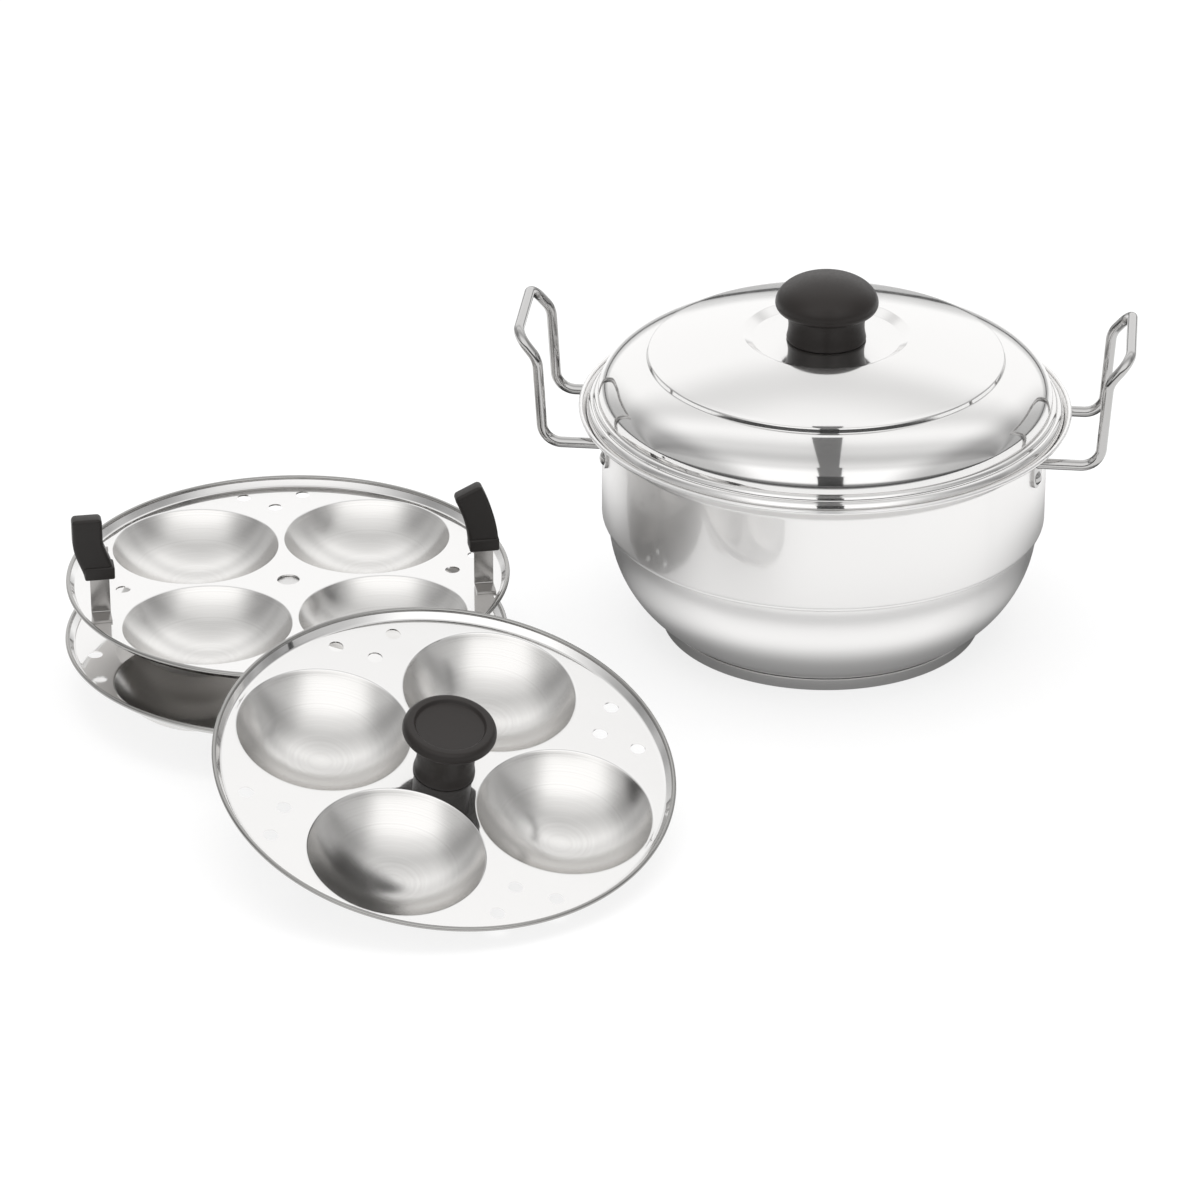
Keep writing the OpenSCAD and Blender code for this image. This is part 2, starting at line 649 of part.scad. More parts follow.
module leaning_plate() at_leaning() idli_plate(screw_r + screw_clear);

module plate_knob() color(bakelite)
    at_leaning() difference() {
        rotate_extrude($fn = 96) polygon(concat(plate_knob_outline, [[0, 0]]));
        translate([0, 0, -1]) cylinder(h = insert_h + 1, r = insert_r);
    }

module plate_knob_insert() at_leaning() knob_insert();
module plate_knob_screw() at_leaning() knob_screw(plate_sheet);
module plate_knob_washer() at_leaning() knob_washer(plate_sheet);

pot_shell();
base_core();
base_cap();
handle_wire_left();
handle_wire_right();
bracket_left_back();
bracket_left_front();
bracket_right_back();
bracket_right_front();
bracket_rivets();
lid_shell();
lid_knob();
lid_knob_insert();
lid_knob_screw();
lid_knob_washer();
lower_plate();
spacer_cup();
upper_plate();
strip_left();
strip_right();
grip_left();
grip_right();
leaning_plate();
plate_knob();
plate_knob_insert();
plate_knob_screw();
plate_knob_washer();
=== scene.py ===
"""An idli steamer in a white studio: polished and satin steel, bent wire and black bakelite."""

import math

import bpy
from mathutils import Matrix, Vector


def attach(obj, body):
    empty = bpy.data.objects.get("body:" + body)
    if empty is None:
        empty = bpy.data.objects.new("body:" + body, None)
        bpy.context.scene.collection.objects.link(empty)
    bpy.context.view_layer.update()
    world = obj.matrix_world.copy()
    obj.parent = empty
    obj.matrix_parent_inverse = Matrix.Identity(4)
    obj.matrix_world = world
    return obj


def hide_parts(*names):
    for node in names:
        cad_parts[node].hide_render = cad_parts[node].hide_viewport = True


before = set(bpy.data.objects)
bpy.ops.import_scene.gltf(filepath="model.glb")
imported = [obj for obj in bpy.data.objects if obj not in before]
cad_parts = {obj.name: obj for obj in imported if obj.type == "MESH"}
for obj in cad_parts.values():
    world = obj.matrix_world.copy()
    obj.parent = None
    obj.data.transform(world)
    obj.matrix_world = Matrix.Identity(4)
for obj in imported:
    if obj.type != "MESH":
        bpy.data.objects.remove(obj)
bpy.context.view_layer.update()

# Sizes are in millimetres and the scene is in metres.
MM = 0.001

# Faces that meet at less than this angle are shaded as one surface.
SMOOTH_ANGLE = math.radians(35)
WIRE_SMOOTH_ANGLE = math.radians(40)

# The pot. Its rings are the radii of the flat bottom and the heights of the straight wall where the
# sheet has points; those beside a bend keep the flat's shading even.
WALL_R = 100
WALL_TOP = 98.5
SHOULDER_H = 55.5
SHOULDER_R = 3
WALL_RINGS = (SHOULDER_H + 0.5, 77, WALL_TOP - 1.2)
BOWL_FOOT_R = 71.5
BOWL_CURVE_H = 55
BOTTOM_RINGS = (0, 20, BOWL_FOOT_R - 2, BOWL_FOOT_R - 0.4)
BASE_H = 5.5
BASE_R = 72.5
POT_SHEET = 0.7
CAP_SHEET = 0.5
CAP_EDGE_R = 0.8
CAP_BEVEL = 0.4

# The pot's lip: its slope ends in a rolled bead, which the sheet meets from below, back along the slope
# and down from it; the bead's arc is in degrees from the slope
FLARE_BEND_R = 1.5
LIP_EDGE = (109.5, 106.6)
LIP_LINE_END = (109.5, 106.1)
LIP_BEAD_R = 1
LIP_BEAD_ARC = (-157, 162)
LIP_SEAM_BACK = 0.92
LIP_SEAM_DROP = 0.39

# The lid. The line of its crown stops short of the bends at its two ends by the insets.
LID_R = 107
LID_SHEET = 0.6
SKIRT = (2.8, 4)
RIDGE = (2.2, 2.2)
STEP_R = 80
STEP_FOOT_H = 25
STEP_H = 2.2
STEP_SLOPE = 0.4
STEP_FOOT_BEND_R = 0.5
STEP_EDGE_BEND_R = 0.9
CROWN_RISE = 9.6
CROWN_INSETS = (1.5, 1)
RECESS_R = 37.5
RECESS_FLOOR_R = 33
RECESS_D = 2.5
RECESS_BEND_R = 1.2
RECESS_RING_R = 20
SCREW_HOLE_R = 2.6
DOME_CENTRE_R = 40
DOME_SQUARE = 2.24
LID_SLOPE = math.atan2(LIP_LINE_END[1] - WALL_TOP, LIP_LINE_END[0] - WALL_R)
LID_Z = WALL_TOP + (LID_R - WALL_R) * math.tan(LID_SLOPE) + (POT_SHEET + 0.3) / math.cos(LID_SLOPE)
CROWN_Z = LID_Z + STEP_FOOT_H + STEP_H + CROWN_RISE
KNOB_Z = CROWN_Z - RECESS_D

# The lid's knob, a mushroom on a waisted foot
KNOB_R = 23
KNOB_H = 30
KNOB_WIDE_H = 17.4
KNOB_NECK_R = 18.6
KNOB_NECK_H = 13.4
KNOB_WAIST_R = 17
KNOB_FOOT_R = 17.8
KNOB_EDGE_R = 1

# The plate's knob, a dished disc on a neck
DISC_R = 20
DISC_RIM_R = 17.5
DISC_WIDE_H = 22.8
DISC_HALF_H = 3.5
DISC_TOP_H = DISC_WIDE_H + DISC_HALF_H
DISH_R = 15.4
DISH_FLOOR_R = 14.4
DISH_FLOOR_H = 24.9
DISH_BENDS = (0.6, 0.8)
NECK_R = 12.4
NECK_TOP_H = 17.8
NECK_FOOT_R = 13.2
NECK_FOOT_H = 6.2
NECK_EDGE_R = 0.6
WAIST_RISE = 1.2

# The wire handles: one half of the right handle, from its bracket up to the middle of its top
WIRE_R = 2.4
WIRE_Z = 95.8
WIRE_LEG_Y = 28
WIRE_CORNERS = (
    (96.05, WIRE_LEG_Y, WIRE_Z),
    (124, WIRE_LEG_Y, WIRE_Z),
    (126.5, WIRE_LEG_Y, 135.7),
    (135.5, 26, 146.7),
)
WIRE_BENDS = (9, 11, 8)
HANDLE_TURN = -6

# The plates. The flat is filled from a seam round each cavity to a seam inside the rim, and the brush
# marks stop just inside a cavity's edge.
PLATE_SHEET = 0.7
PLATE_WEB_R = 94.5
PLATE_EDGE = (97.5, 3.2)
PLATE_BEND_R = 1.5
PLATE_BEAD_R = 1
RIM_SEAM = 1.6
CAVITY_SEAM = 0.6
BRUSH_STOP = 0.2
CAVITY_MARGIN = 2.4
CAVITY_GAP = 2.6
CAVITY_REACH = PLATE_WEB_R - CAVITY_MARGIN
CAVITY_R = (math.sqrt(2) * CAVITY_REACH - CAVITY_GAP) / (2 + math.sqrt(2))
CAVITY_PITCH_R = CAVITY_REACH - CAVITY_R
CAVITY_PITCH = CAVITY_PITCH_R * math.sqrt(0.5)
CAVITY_D = 19.3
CAVITY_ROUND = 1
CAVITY_SPHERE_R = (CAVITY_R**2 + CAVITY_D**2) / (2 * CAVITY_D)
CAVITY_CENTRE_Z = CAVITY_SPHERE_R - CAVITY_D
CENTRE_HOLE_R = 5
STEAM_R = 3.25
STEAM_SINGLE_AT = 73.4
STEAM_PAIR_AT = 86
STEAM_PAIR_TURN = 9

# Where the plates stand, and how the third one leans
LOWER_PLACE = (-240.5, -58, 20)
LOWER_TURN = 3
UPPER_PLACE = (-239.5, -53.5, 46)
UPPER_TURN = 7.5
LEAN_TILT = 16
LEAN_DIR = 116
LEAN_PLACE = (-166.7213, -202.7185, 31.6927)

# The side grips
STRIP_X = PLATE_WEB_R - 9.5
STRIP_Y = -20
STRIP_TURN = 2
STRIP_W = 8.5
STRIP_T = 1.2
STRIP_FOOT = 8.5
STRIP_BEND_R = 1.8
STRIP_EDGE_R = 0.15
TANG_H = 14
GRIP_FOOT_H = 18.5
GRIP_H = 29
GRIP_W = 13.2
GRIP_T = 7.5
GRIP_EDGE_R = 1.3
GRIP_TOP_ROUND = 2
GRIP_BLOCK_H = 6
GRIP_BLOCK_OUT = 0.8
GRIP_BLOCK_EDGE_R = 0.9
LEFT_LEAN = 4.6
LEFT_LEAN_SHARE = 0.62
RIGHT_LEAN = 7.2

# The camera, the floor and the flags of the studio
VIEW_CENTRE = (-100.85, 16.14, 0)
VIEW_FROM = (-100.85, -2262.1, 1169.1)
LENS = 167.07
SENSOR = 36
FLOOR_SIDE = 6000
FLAG_ARC_Y = -100
FLAG_ARC_Z = 125
FLAG_ARC_R = 90

# How bright the room looks in polished steel, against the white that the camera sees
ROOM_STRENGTH = 1.36

# How much of the floor's own light hides its shadow from the camera
FLOOR_GLOW = 0.75

# How strongly the brushed cavities stretch a reflection across the brush marks
BRUSHED = 0.25

# Curves and outlines, as lists of (radius, height) points


def spread(first, last, steps):
    """Evenly spaced values from one to another, both included."""
    return [first + (last - first) * i / steps for i in range(steps + 1)]


def arc(centre, size, start, end, steps):
    """Points of an ellipse from one angle to another, in degrees."""
    width, height = size
    turns = [math.radians(turn) for turn in spread(start, end, steps)]
    return [(centre[0] + width * math.cos(a), centre[1] + height * math.sin(a)) for a in turns]


def rounded(before, corner, after, radius, steps=6):
    """Points of the arc that rounds a corner between two straight lines."""
    before, corner, after = Vector(before), Vector(corner), Vector(after)
    back = (before - corner).normalized()
    on = (after - corner).normalized()
    half = back.angle(on) / 2
    centre = corner + (back + on).normalized() * radius / math.sin(half)
    start = corner + back * radius / math.tan(half) - centre
    end = corner + on * radius / math.tan(half) - centre
    points = [start.lerp(end, i / steps).normalized() * radius + centre for i in range(steps + 1)]
    return [tuple(p) for p in points]


def beside(line, gap, turned_part=True):
    """The line moved sideways by a gap, to the left of the way it runs; a turned part stops at its axis."""
    points = [Vector(p) for p in line]
    moved = []
    for i, p in enumerate(points):
        way = (points[min(i + 1, len(points) - 1)] - points[max(i - 1, 0)]).normalized()
        x = p.x - gap * way.y
        moved.append((max(0, x) if turned_part else x, p.y + gap * way.x))
    return moved


# Modelling


def start_edit(piece):
    bpy.ops.object.select_all(action="DESELECT")
    piece.select_set(True)
    bpy.context.view_layer.objects.active = piece
    bpy.ops.object.mode_set(mode="EDIT")
    bpy.ops.mesh.select_all(action="SELECT")


def close_edit():
    bpy.ops.mesh.select_all(action="SELECT")
    bpy.ops.mesh.remove_doubles(threshold=0.002 * MM)
    bpy.ops.mesh.normals_make_consistent(inside=False)
    bpy.ops.object.mode_set(mode="OBJECT")


def drawn(name, points):
    """One line of edges through points in millimetres, extruded from a single corner."""
    bpy.ops.object.select_all(action="DESELECT")
    bpy.ops.mesh.primitive_plane_add(size=MM, location=Vector(points[0]) * MM)
    piece = bpy.context.object
    piece.name = name
    bpy.ops.object.transform_apply()
    bpy.ops.object.mode_set(mode="EDIT")
    bpy.ops.mesh.select_all(action="SELECT")
    bpy.ops.mesh.merge(type="CENTER")
    for here, there in zip(points, points[1:]):
        step = (Vector(there) - Vector(here)) * MM
        bpy.ops.mesh.extrude_region_move(TRANSFORM_OT_translate={"value": step})
    bpy.ops.object.mode_set(mode="OBJECT")
    return piece


def spun(name, outline, steps=180):
    """Spins an outline about the Z axis."""
    piece = drawn(name, [(r, 0, z) for r, z in outline])
    start_edit(piece)
    bpy.ops.mesh.spin(steps=steps, angle=2 * math.pi, center=(0, 0, 0), axis=(0, 0, 1))
    close_edit()
    bpy.ops.object.shade_smooth_by_angle(angle=SMOOTH_ANGLE)
    return piece


def slab(name, outline, way, edge_round):
    """A closed outline in millimetres, filled, extruded along a vector and rounded at its sharp edges."""
    piece = drawn(name, outline + outline[:1])
    start_edit(piece)
    bpy.ops.mesh.remove_doubles(threshold=0.002 * MM)
    bpy.ops.mesh.select_all(action="SELECT")
    bpy.ops.mesh.edge_face_add()
    bpy.ops.mesh.extrude_region_move(TRANSFORM_OT_translate={"value": Vector(way) * MM})
    bpy.ops.mesh.select_all(action="SELECT")
    bpy.ops.mesh.normals_make_consistent(inside=False)
    bpy.ops.mesh.select_mode(type="EDGE")
    bpy.ops.mesh.select_all(action="DESELECT")
    bpy.ops.mesh.edges_select_sharp(sharpness=math.radians(40))
    bpy.ops.mesh.bevel(offset=edge_round * MM, segments=4, affect="EDGES")
    bpy.ops.mesh.select_mode(type="VERT")
    close_edit()
    bpy.ops.object.shade_smooth_by_angle(angle=SMOOTH_ANGLE)
    bpy.ops.object.mode_set(mode="EDIT")
    bpy.ops.mesh.select_mode(type="FACE")
    bpy.ops.mesh.select_all(action="DESELECT")
    bpy.ops.mesh.select_face_by_sides(number=4, type="GREATER")
    bpy.ops.mesh.region_to_loop()
    bpy.ops.mesh.mark_sharp()
    bpy.ops.mesh.select_mode(type="VERT")
    bpy.ops.object.mode_set(mode="OBJECT")
    return piece


def place(piece, matrix):
    """Moves a piece and keeps its place in its mesh."""
    bpy.ops.object.select_all(action="DESELECT")
    piece.select_set(True)
    bpy.context.view_layer.objects.active = piece
    piece.matrix_world = matrix
    bpy.ops.object.transform_apply()
    return piece


def copied(piece, name, matrix):
    """A copy with its own mesh, moved by a matrix."""
    bpy.ops.object.select_all(action="DESELECT")
    piece.select_set(True)
    bpy.context.view_layer.objects.active = piece
    bpy.ops.object.duplicate()
    copy = bpy.context.object
    copy.name = name
    return place(copy, matrix)


def joined(name, pieces):
    bpy.ops.object.select_all(action="DESELECT")
    for piece in pieces:
        piece.select_set(True)
    bpy.context.view_layer.objects.active = pieces[0]
    bpy.ops.object.join()
    pieces[0].name = name
    return pieces[0]


def modified(piece, kind, **settings):
    bpy.context.view_layer.objects.active = piece
    modifier = piece.modifiers.new(kind, kind)
    for key, value in settings.items():
        setattr(modifier, key, value)
    bpy.ops.object.modifier_apply(modifier=modifier.name)


def moved(x=0, y=0, z=0):
    return Matrix.Translation(Vector((x, y, z)) * MM)


def turned(angle, axis="Z"):
    return Matrix.Rotation(math.radians(angle), 4, axis)


AT_LOWER = moved(*LOWER_PLACE) @ turned(LOWER_TURN)
AT_UPPER = moved(*UPPER_PLACE) @ turned(UPPER_TURN)
AT_LEANING = moved(*LEAN_PLACE) @ turned(LEAN_DIR) @ turned(-LEAN_TILT, "Y") @ turned(-90)

# Materials


def linear(hex_colour):
    """An sRGB hex colour as linear RGBA."""
    parts = [int(hex_colour[i : i + 2], 16) / 255 for i in (1, 3, 5)]
    return [p / 12.92 if p <= 0.04045 else ((p + 0.055) / 1.055) ** 2.4 for p in parts] + [1]


def node(tree, kind, links=None, **settings):
    """Adds a node. Settings are its properties; links are sockets or values for its inputs."""
    made = tree.nodes.new("ShaderNode" + kind)
    for key, value in settings.items():
        setattr(made, key, value)
    for key, value in (links or {}).items():
        if isinstance(value, bpy.types.NodeSocket):
            tree.links.new(value, made.inputs[key])
        else:
            made.inputs[key].default_value = value
    return made


def levels(tree, value, stops):
    """Grey levels along a value from 0 to 1, eased between the stops."""
    ramp = node(tree, "ValToRGB", {"Fac": value})
    ramp.color_ramp.interpolation = "EASE"
    elements = ramp.color_ramp.elements
    for i, (place_on, level) in enumerate(stops):
        stop = elements[i] if i < 2 else elements.new(place_on)
        stop.position = place_on
        stop.color = (level, level, level, 1)
    return ramp.outputs["Color"]


def between(tree, value, reach, result):
    """A value carried from one range to another."""
    ends = {"From Min": reach[0], "From Max": reach[1], "To Min": result[0], "To Max": result[1]}
    return node(tree, "MapRange", {"Value": value, **ends}).outputs["Result"]


def grain(tree, vector, size, detail=2):
    """Noise whose grain has a size in millimetres."""
    links = {"Vector": vector, "Scale": 1 / (size * MM), "Detail": detail}
    return node(tree, "TexNoise", links).outputs["Fac"]


def mixed_colour(tree, share, first, second):
    """One hex colour changing to another by a share."""
    links = {"Factor": share, "A": linear(first), "B": linear(second)}
    return node(tree, "Mix", links, data_type="RGBA").outputs["Result"]


def relief(tree, height, strength, depth):
    """Bumps of a depth in millimetres."""
    links = {"Height": height, "Strength": strength, "Distance": depth * MM}
    return node(tree, "Bump", links).outputs["Normal"]


def vector_math(tree, operation, *values):
    return node(tree, "VectorMath", dict(enumerate(values)), operation=operation).outputs["Vector"]


def number_math(tree, operation, *values):
    return node(tree, "Math", dict(enumerate(values)), operation=operation).outputs["Value"]


def new_material(name):
    material = bpy.data.materials.new(name)
    material.use_nodes = True
    material.node_tree.nodes.clear()
    return material, material.node_tree


def finish(tree, surface):
    node(tree, "OutputMaterial", {"Surface": surface})


# The middle of a noise's range, which is stretched to a range of roughness
NOISE_MIDDLE = (0.3, 0.7)


def polished_steel(name, haze_share, colour="#e4e3e2"):
    """Stainless sheet, buffed to a mirror under a faint haze, with soft waves from the press."""
    material, tree = new_material(name)
    place_at = node(tree, "TexCoord").outputs["Object"]
    waves = grain(tree, place_at, 35.7, 1)
    cloud = grain(tree, place_at, 6.25, 4)
    rough = between(tree, cloud, NOISE_MIDDLE, (0.04, 0.08))
    steel = {"Base Color": linear(colour), "Metallic": 1, "Normal": relief(tree, waves, 0.25, 0.6)}
    mirror = node(tree, "BsdfPrincipled", {**steel, "Roughness": rough}).outputs["BSDF"]
    haze = node(tree, "BsdfPrincipled", {**steel, "Roughness": 0.4}).outputs["BSDF"]
    finish(tree, node(tree, "MixShader", {0: haze_share, 1: mirror, 2: haze}).outputs["Shader"])
    return material


def satin_steel(name, colour="#d2d1d0", roughness=0.3):
    """Stainless sheet with a fine scoured finish, its grain drawn about 1 mm coarse so that it shows."""
    material, tree = new_material(name)
    scour = grain(tree, node(tree, "TexCoord").outputs["Object"], 1.11, 3)
    links = {
        "Base Color": linear(colour),
        "Metallic": 1,
        "Roughness": between(tree, scour, NOISE_MIDDLE, (roughness - 0.03, roughness + 0.03)),
        "Normal": relief(tree, scour, 0.05, 0.2),
    }
    finish(tree, node(tree, "BsdfPrincipled", links).outputs["BSDF"])
    return material


def brushed_cavities(name, at):
    """Stainless sheet brushed in circles round the middle of each cavity of a plate at a matrix. The
    brush marks are drawn 0.4 mm wide, coarser than real ones, so that they show."""
    material, tree = new_material(name)
    place_at = node(tree, "TexCoord").outputs["Object"]
    turn = at.to_euler()
    plate_place = {"Vector": place_at, "Location": at.translation, "Rotation": turn}
    local = node(tree, "Mapping", plate_place, vector_type="TEXTURE").outputs["Vector"]
    quarter = vector_math(tree, "SIGN", local)
    middle = vector_math(tree, "MULTIPLY", quarter, (CAVITY_PITCH * MM, CAVITY_PITCH * MM, 0))
    off = vector_math(tree, "SUBTRACT", local, middle)
    round_way = vector_math(tree, "CROSS_PRODUCT", (0, 0, 1), off)
    brush_way = node(tree, "Mapping", {"Vector": round_way, "Rotation": turn}, vector_type="VECTOR")
    reach = node(tree, "VectorMath", {0: off}, operation="LENGTH").outputs["Value"]
    ring_width = {"W": reach, "Scale": 1 / (0.4 * MM), "Detail": 3}
    rings = node(tree, "TexNoise", ring_width, noise_dimensions="1D").outputs["Fac"]
    links = {
        "Base Color": mixed_colour(tree, rings, "#e6e5e3", "#dbd9d7"),
        "Metallic": 1,
        "Roughness": between(tree, grain(tree, place_at, 22.2), NOISE_MIDDLE, (0.19, 0.25)),
        "Anisotropic": BRUSHED,
        "Tangent": brush_way.outputs["Vector"],
        "Normal": relief(tree, rings, 0.03, 0.1),
    }
    finish(tree, node(tree, "BsdfPrincipled", links).outputs["BSDF"])
    return material


def bakelite(name, colour, roughness):
    """Moulded phenolic plastic: a hard skin with a very fine mould texture, drawn 1.4 mm coarse to show."""
    material, tree = new_material(name)
    mould = grain(tree, node(tree, "TexCoord").outputs["Object"], 1.43, 3)
    links = {
        "Base Color": linear(colour),
        "Roughness": between(tree, mould, NOISE_MIDDLE, (roughness - 0.04, roughness + 0.04)),
        "IOR": 1.6,
        "Specular IOR Level": 0.25,
        "Normal": relief(tree, mould, 0.03, 0.1),
    }
    finish(tree, node(tree, "BsdfPrincipled", links).outputs["BSDF"])
    return material


def plain_metal(name, colour, roughness):
    """Turned, drawn or cut metal of the small fittings, with tool marks about 0.8 mm apart."""
    material, tree = new_material(name)
    marks = grain(tree, node(tree, "TexCoord").outputs["Object"], 0.833)
    bump = relief(tree, marks, 0.06, 0.2)
    links = {"Base Color": linear(colour), "Metallic": 1, "Roughness": roughness, "Normal": bump}
    finish(tree, node(tree, "BsdfPrincipled", links).outputs["BSDF"])
    return material


# Buffed sheet gives clear reflections of the room, a little dark; the lid and the flats of the plates
MIRROR_SHEET = polished_steel("mirror-buffed stainless sheet", 0.12)

# Soft-buffed sheet has a broad even shine over a weak mirror; the pot
POT_SHEET_STEEL = polished_steel("soft-buffed stainless sheet of the pot", 0.85, "#f2f1f0")

# Sheet as it comes from the mill, dull and even; the undersides of the plates
MILL_SHEET = satin_steel("mill-finish stainless sheet, underside", "#d5d3d1", 0.45)

# Scoured sheet, soft and grey; the spacer cup
SATIN_SHEET = satin_steel("scoured stainless sheet")

# Brushed sheet, duller than the pot above it; the base disc's cap
BASE_STEEL = satin_steel("brushed stainless base", "#d6d5d4", 0.35)

# A rolled edge is tight and shows as a thin dark line, painted here as shade by a colour much darker than
# the other steel; the beads of the plates
PAINTED_SHADE_EDGE_STEEL = plain_metal("rolled edge of stainless sheet, darkened with painted shade", "#a3a2a0", 0.1)

# Sheared strip, grey beside the mirror of the plate
STRIP_STEEL = plain_metal("sheared stainless strip", "#a09e9c", 0.22)

# Drawn wire, polished, with sharp dark and light lines along it; also the fittings that hold it, and the
# knobs' screws and washers
WIRE_STEEL = plain_metal("polished stainless wire", "#b9b8b7", 0.08)

# Bakelite is almost black with a broad weak shine; the grips are a shade browner than the knobs
KNOB_BAKELITE = bakelite("black bakelite, moulded", "#231f1d", 0.4)
GRIP_BAKELITE = bakelite("brown-black bakelite, moulded", "#1e1b19", 0.42)

# Rolled aluminium, pale and dull; the core of the base disc
CORE_ALUMINIUM = plain_metal("aluminium disc, rolled", "#c9cacb", 0.4)

# Turned brass, yellow; the thread inserts
BRASS = plain_metal("brass, turned", "#c79a4e", 0.3)


def dress(piece, body, slot, material, *nodes):
    """Gives a new piece its material, its body and the CAD nodes that it stands for."""
    piece.data.materials.clear()
    for each in material if isinstance(material, (list, tuple)) else [material]:
        piece.data.materials.append(each)
    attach(piece, body)
    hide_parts(*nodes)


# The pot: the outside from the base to the rolled edge, and the inside back again

bowl_top = (WALL_R - SHOULDER_R, SHOULDER_H - SHOULDER_R)
bowl_angle = math.degrees(math.asin((bowl_top[1] - BASE_H) / BOWL_CURVE_H))
bowl_w = (bowl_top[0] - BOWL_FOOT_R) / (1 - math.cos(math.radians(bowl_angle)))
lip_way = Vector((math.cos(LID_SLOPE), math.sin(LID_SLOPE)))
pot_outside = (
    [(r, BASE_H) for r in BOTTOM_RINGS]
    + arc((bowl_top[0] - bowl_w, bowl_top[1]), (bowl_w, BOWL_CURVE_H), -bowl_angle, 0, 40)[1:]
    + arc((bowl_top[0], SHOULDER_H), (SHOULDER_R, SHOULDER_R), -90, 0, 10)
    + [(WALL_R, z) for z in WALL_RINGS]
    + rounded((WALL_R, 0), (WALL_R, WALL_TOP), LIP_LINE_END, FLARE_BEND_R)[1:]
)
lip_seam = Vector(LIP_EDGE) - lip_way * LIP_SEAM_BACK + Vector((lip_way.y, -lip_way.x)) * LIP_SEAM_DROP
pot_outside.append(tuple(lip_seam))
pot_inside = beside(pot_outside, POT_SHEET)[::-1]
bead_from, bead_to = (math.degrees(LID_SLOPE) + turn for turn in LIP_BEAD_ARC)
bead = arc(LIP_EDGE, (LIP_BEAD_R, LIP_BEAD_R), bead_from, bead_to, 24)
pot = spun("pot_body", pot_outside + bead + pot_inside, 240)
dress(pot, "pot", "polished_steel", POT_SHEET_STEEL, "pot_shell")

cap_outline = (
    [(0, 0), (BASE_R - 1, 0)]
    + arc((BASE_R - CAP_EDGE_R, CAP_EDGE_R), (CAP_EDGE_R, CAP_EDGE_R), -90, 0, 5)
    + [(BASE_R, BASE_H - CAP_BEVEL), (BASE_R - CAP_BEVEL, BASE_H)]
    + [(BASE_R - CAP_BEVEL - CAP_SHEET, BASE_H), (BASE_R - CAP_SHEET, CAP_SHEET), (0, CAP_SHEET)]
)
cap = spun("base_disc_cap", cap_outline, 240)
dress(cap, "pot", "base_steel", BASE_STEEL, "base_cap")

# The wire handles


def bent_wire(name, corners, bends):
    """A wire through corners, with a bend radius at each."""
    points = [corners[0]]
    for before, corner, after, radius in zip(corners, corners[1:], corners[2:], bends):
        points += rounded(before, corner, after, radius, 10)
    points.append(corners[-1])
    piece = drawn(name, points)
    bpy.ops.object.convert(target="CURVE")
    wire = bpy.context.object
    wire.data.bevel_depth = WIRE_R * MM
    wire.data.bevel_resolution = 6
    wire.data.use_fill_caps = True
    bpy.ops.object.convert(target="MESH")
    wire = bpy.context.object
    start_edit(wire)
    close_edit()
    bpy.ops.object.shade_smooth_by_angle(angle=WIRE_SMOOTH_ANGLE)
    return wire


other_half = [(x, -y, z) for x, y, z in WIRE_CORNERS[::-1]]
wire = bent_wire("handle_wire", [*WIRE_CORNERS, *other_half], WIRE_BENDS + WIRE_BENDS[::-1])
for side, angle in (("right", 0), ("left", 180)):
    handle = copied(wire, f"wire_handle_{side}", turned(HANDLE_TURN + angle))
    dress(handle, "pot", "steel_wire", WIRE_STEEL, f"handle_wire_{side}")
bpy.data.objects.remove(wire)

# The lid: the outside from the edge to the screw hole, and the inside back again

ridge_r = LID_R - SKIRT[0]
ridge_z = LID_Z + SKIRT[1]
dome_r = ridge_r - RIDGE[0]
dome_z = ridge_z + RIDGE[1]
step_z = LID_Z + STEP_FOOT_H
dome_end = math.acos(((STEP_R - DOME_CENTRE_R) / (dome_r - DOME_CENTRE_R)) ** (DOME_SQUARE / 2))
dome_h = (step_z - dome_z) / math.sin(dome_end) ** (2 / DOME_SQUARE)
crown_r = STEP_R - STEP_SLOPE


def dome_point(a):
    """A point of the dome, which is a quarter of an oval that is a little squarer than an ellipse."""
    across = DOME_CENTRE_R + (dome_r - DOME_CENTRE_R) * math.cos(a) ** (2 / DOME_SQUARE)
    return across, dome_z + dome_h * math.sin(a) ** (2 / DOME_SQUARE)


def crown_point(r):
    """A point of the crown, which rises in a parabola from the step to the recess round the knob."""
    return r, CROWN_Z - CROWN_RISE * (r * r - RECESS_R**2) / (crown_r**2 - RECESS_R**2)


dome = [dome_point(a) for a in spread(0, dome_end, 48)[1:]]
crown = [crown_point(r) for r in spread(crown_r - CROWN_INSETS[0], RECESS_R + CROWN_INSETS[1], 30)]
recess_top = (RECESS_R, CROWN_Z)
recess_foot = (RECESS_FLOOR_R, KNOB_Z)
lid_outside = (
    arc((ridge_r, LID_Z), SKIRT, 0, 90, 10)
    + arc((dome_r, ridge_z), RIDGE, 0, 90, 10)[1:]
    + dome[:-1]
    + rounded(dome[-2], dome[-1], (crown_r, step_z + STEP_H), STEP_FOOT_BEND_R, 4)
    + rounded((STEP_R, step_z), (crown_r, step_z + STEP_H), crown[0], STEP_EDGE_BEND_R, 5)
    + crown[1:]
    + rounded(crown[-2], recess_top, recess_foot, RECESS_BEND_R, 5)
    + rounded(recess_top, recess_foot, (RECESS_RING_R, KNOB_Z), RECESS_BEND_R, 5)
    + [(RECESS_RING_R, KNOB_Z), (SCREW_HOLE_R, KNOB_Z)]
)
lid_inside = beside(lid_outside, LID_SHEET)[::-1]
lid = spun("lid_dome", lid_outside + lid_inside + lid_outside[:1], 240)
dress(lid, "lid", "polished_steel", MIRROR_SHEET, "lid_shell")

# The knobs


